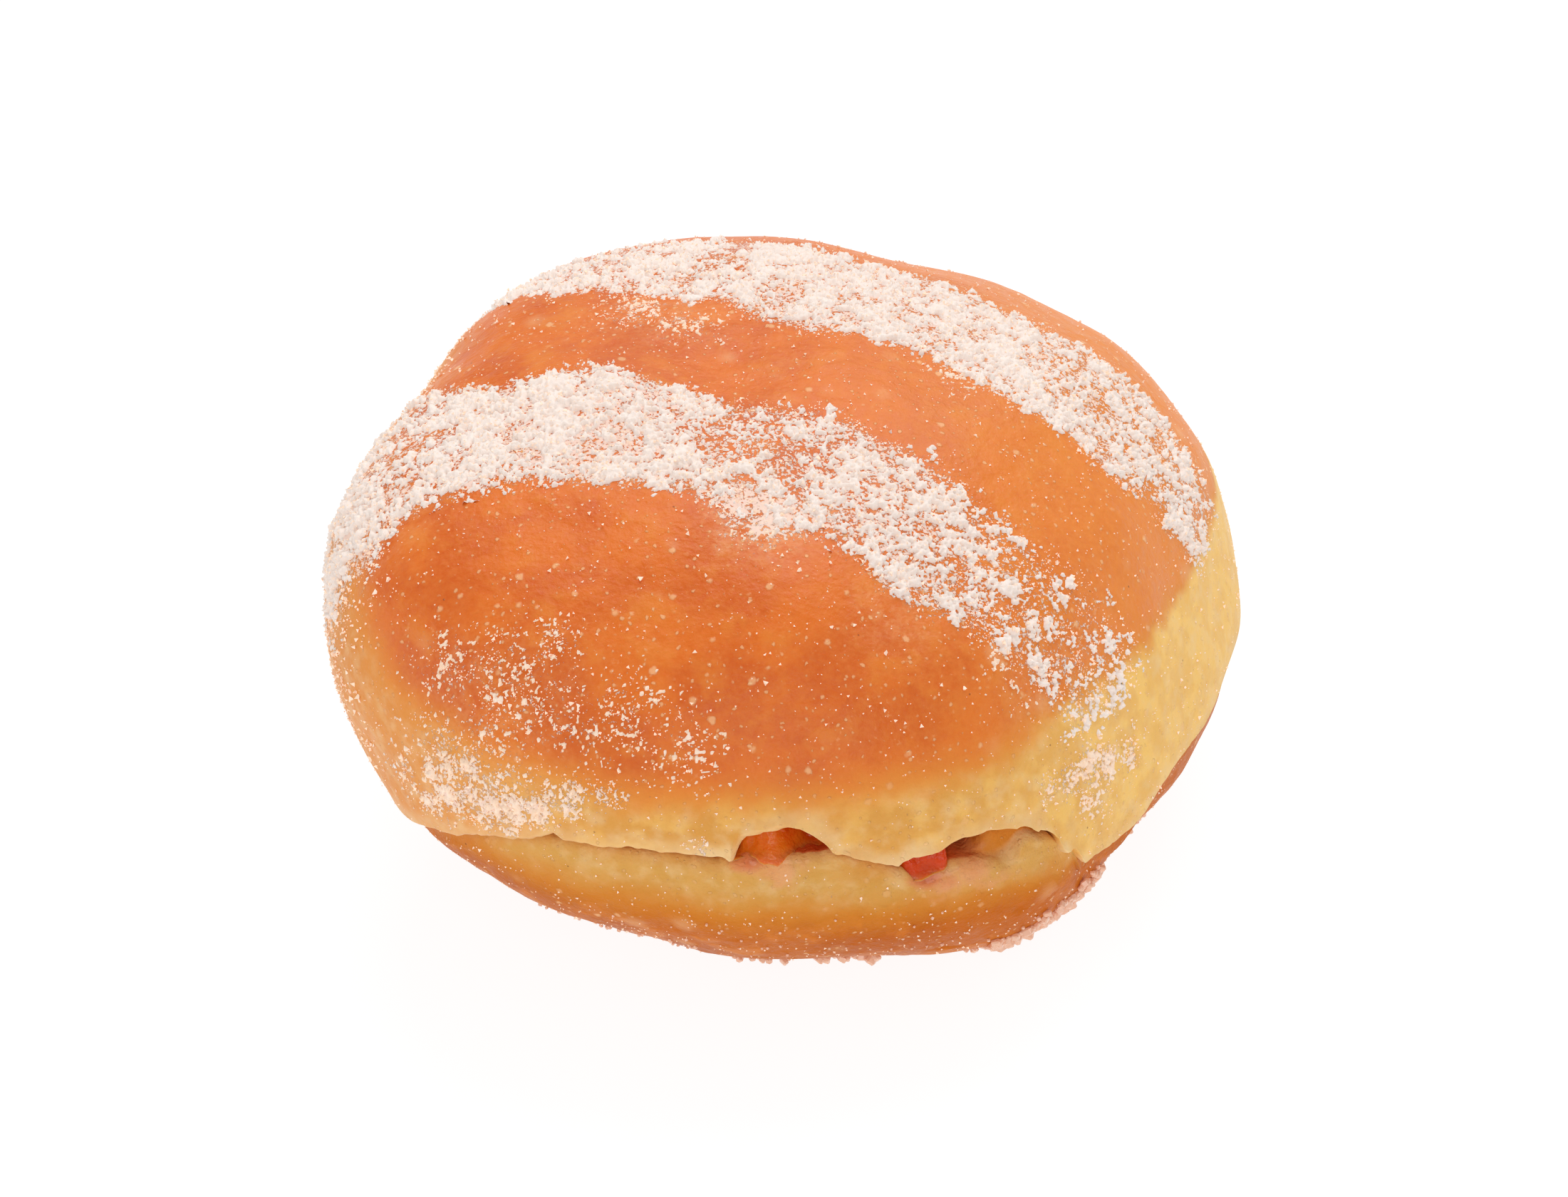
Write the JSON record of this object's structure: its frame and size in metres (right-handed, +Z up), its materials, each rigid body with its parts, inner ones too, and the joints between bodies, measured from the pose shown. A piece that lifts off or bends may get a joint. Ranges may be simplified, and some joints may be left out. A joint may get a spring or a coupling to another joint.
{
  "type": "jelly filled doughnut",
  "caption": "Round bun of fried dough, cut open along its waist with a jelly layer between the halves, two drifts of powdered sugar on the crown and sugar crystals on the lower edge.",
  "frame": {"origin": "middle of the footprint, on the surface that the doughnut rests on", "axes": "+Z up, +X to the right, -Y the side with the two open mouths of the cut"},
  "size_m": [0.0844, 0.0828, 0.0489],
  "materials": {
    "crown_dough": "satin browned crust with a pale band above the cut",
    "jelly": "glossy, translucent",
    "base_dough": "satin, pale at the cut and browned below"
  },
  "bodies": {
    "root": {"dough_top": "crown_dough", "jelly": "jelly", "dough_bottom": "base_dough"}
  },
  "joints": []
}
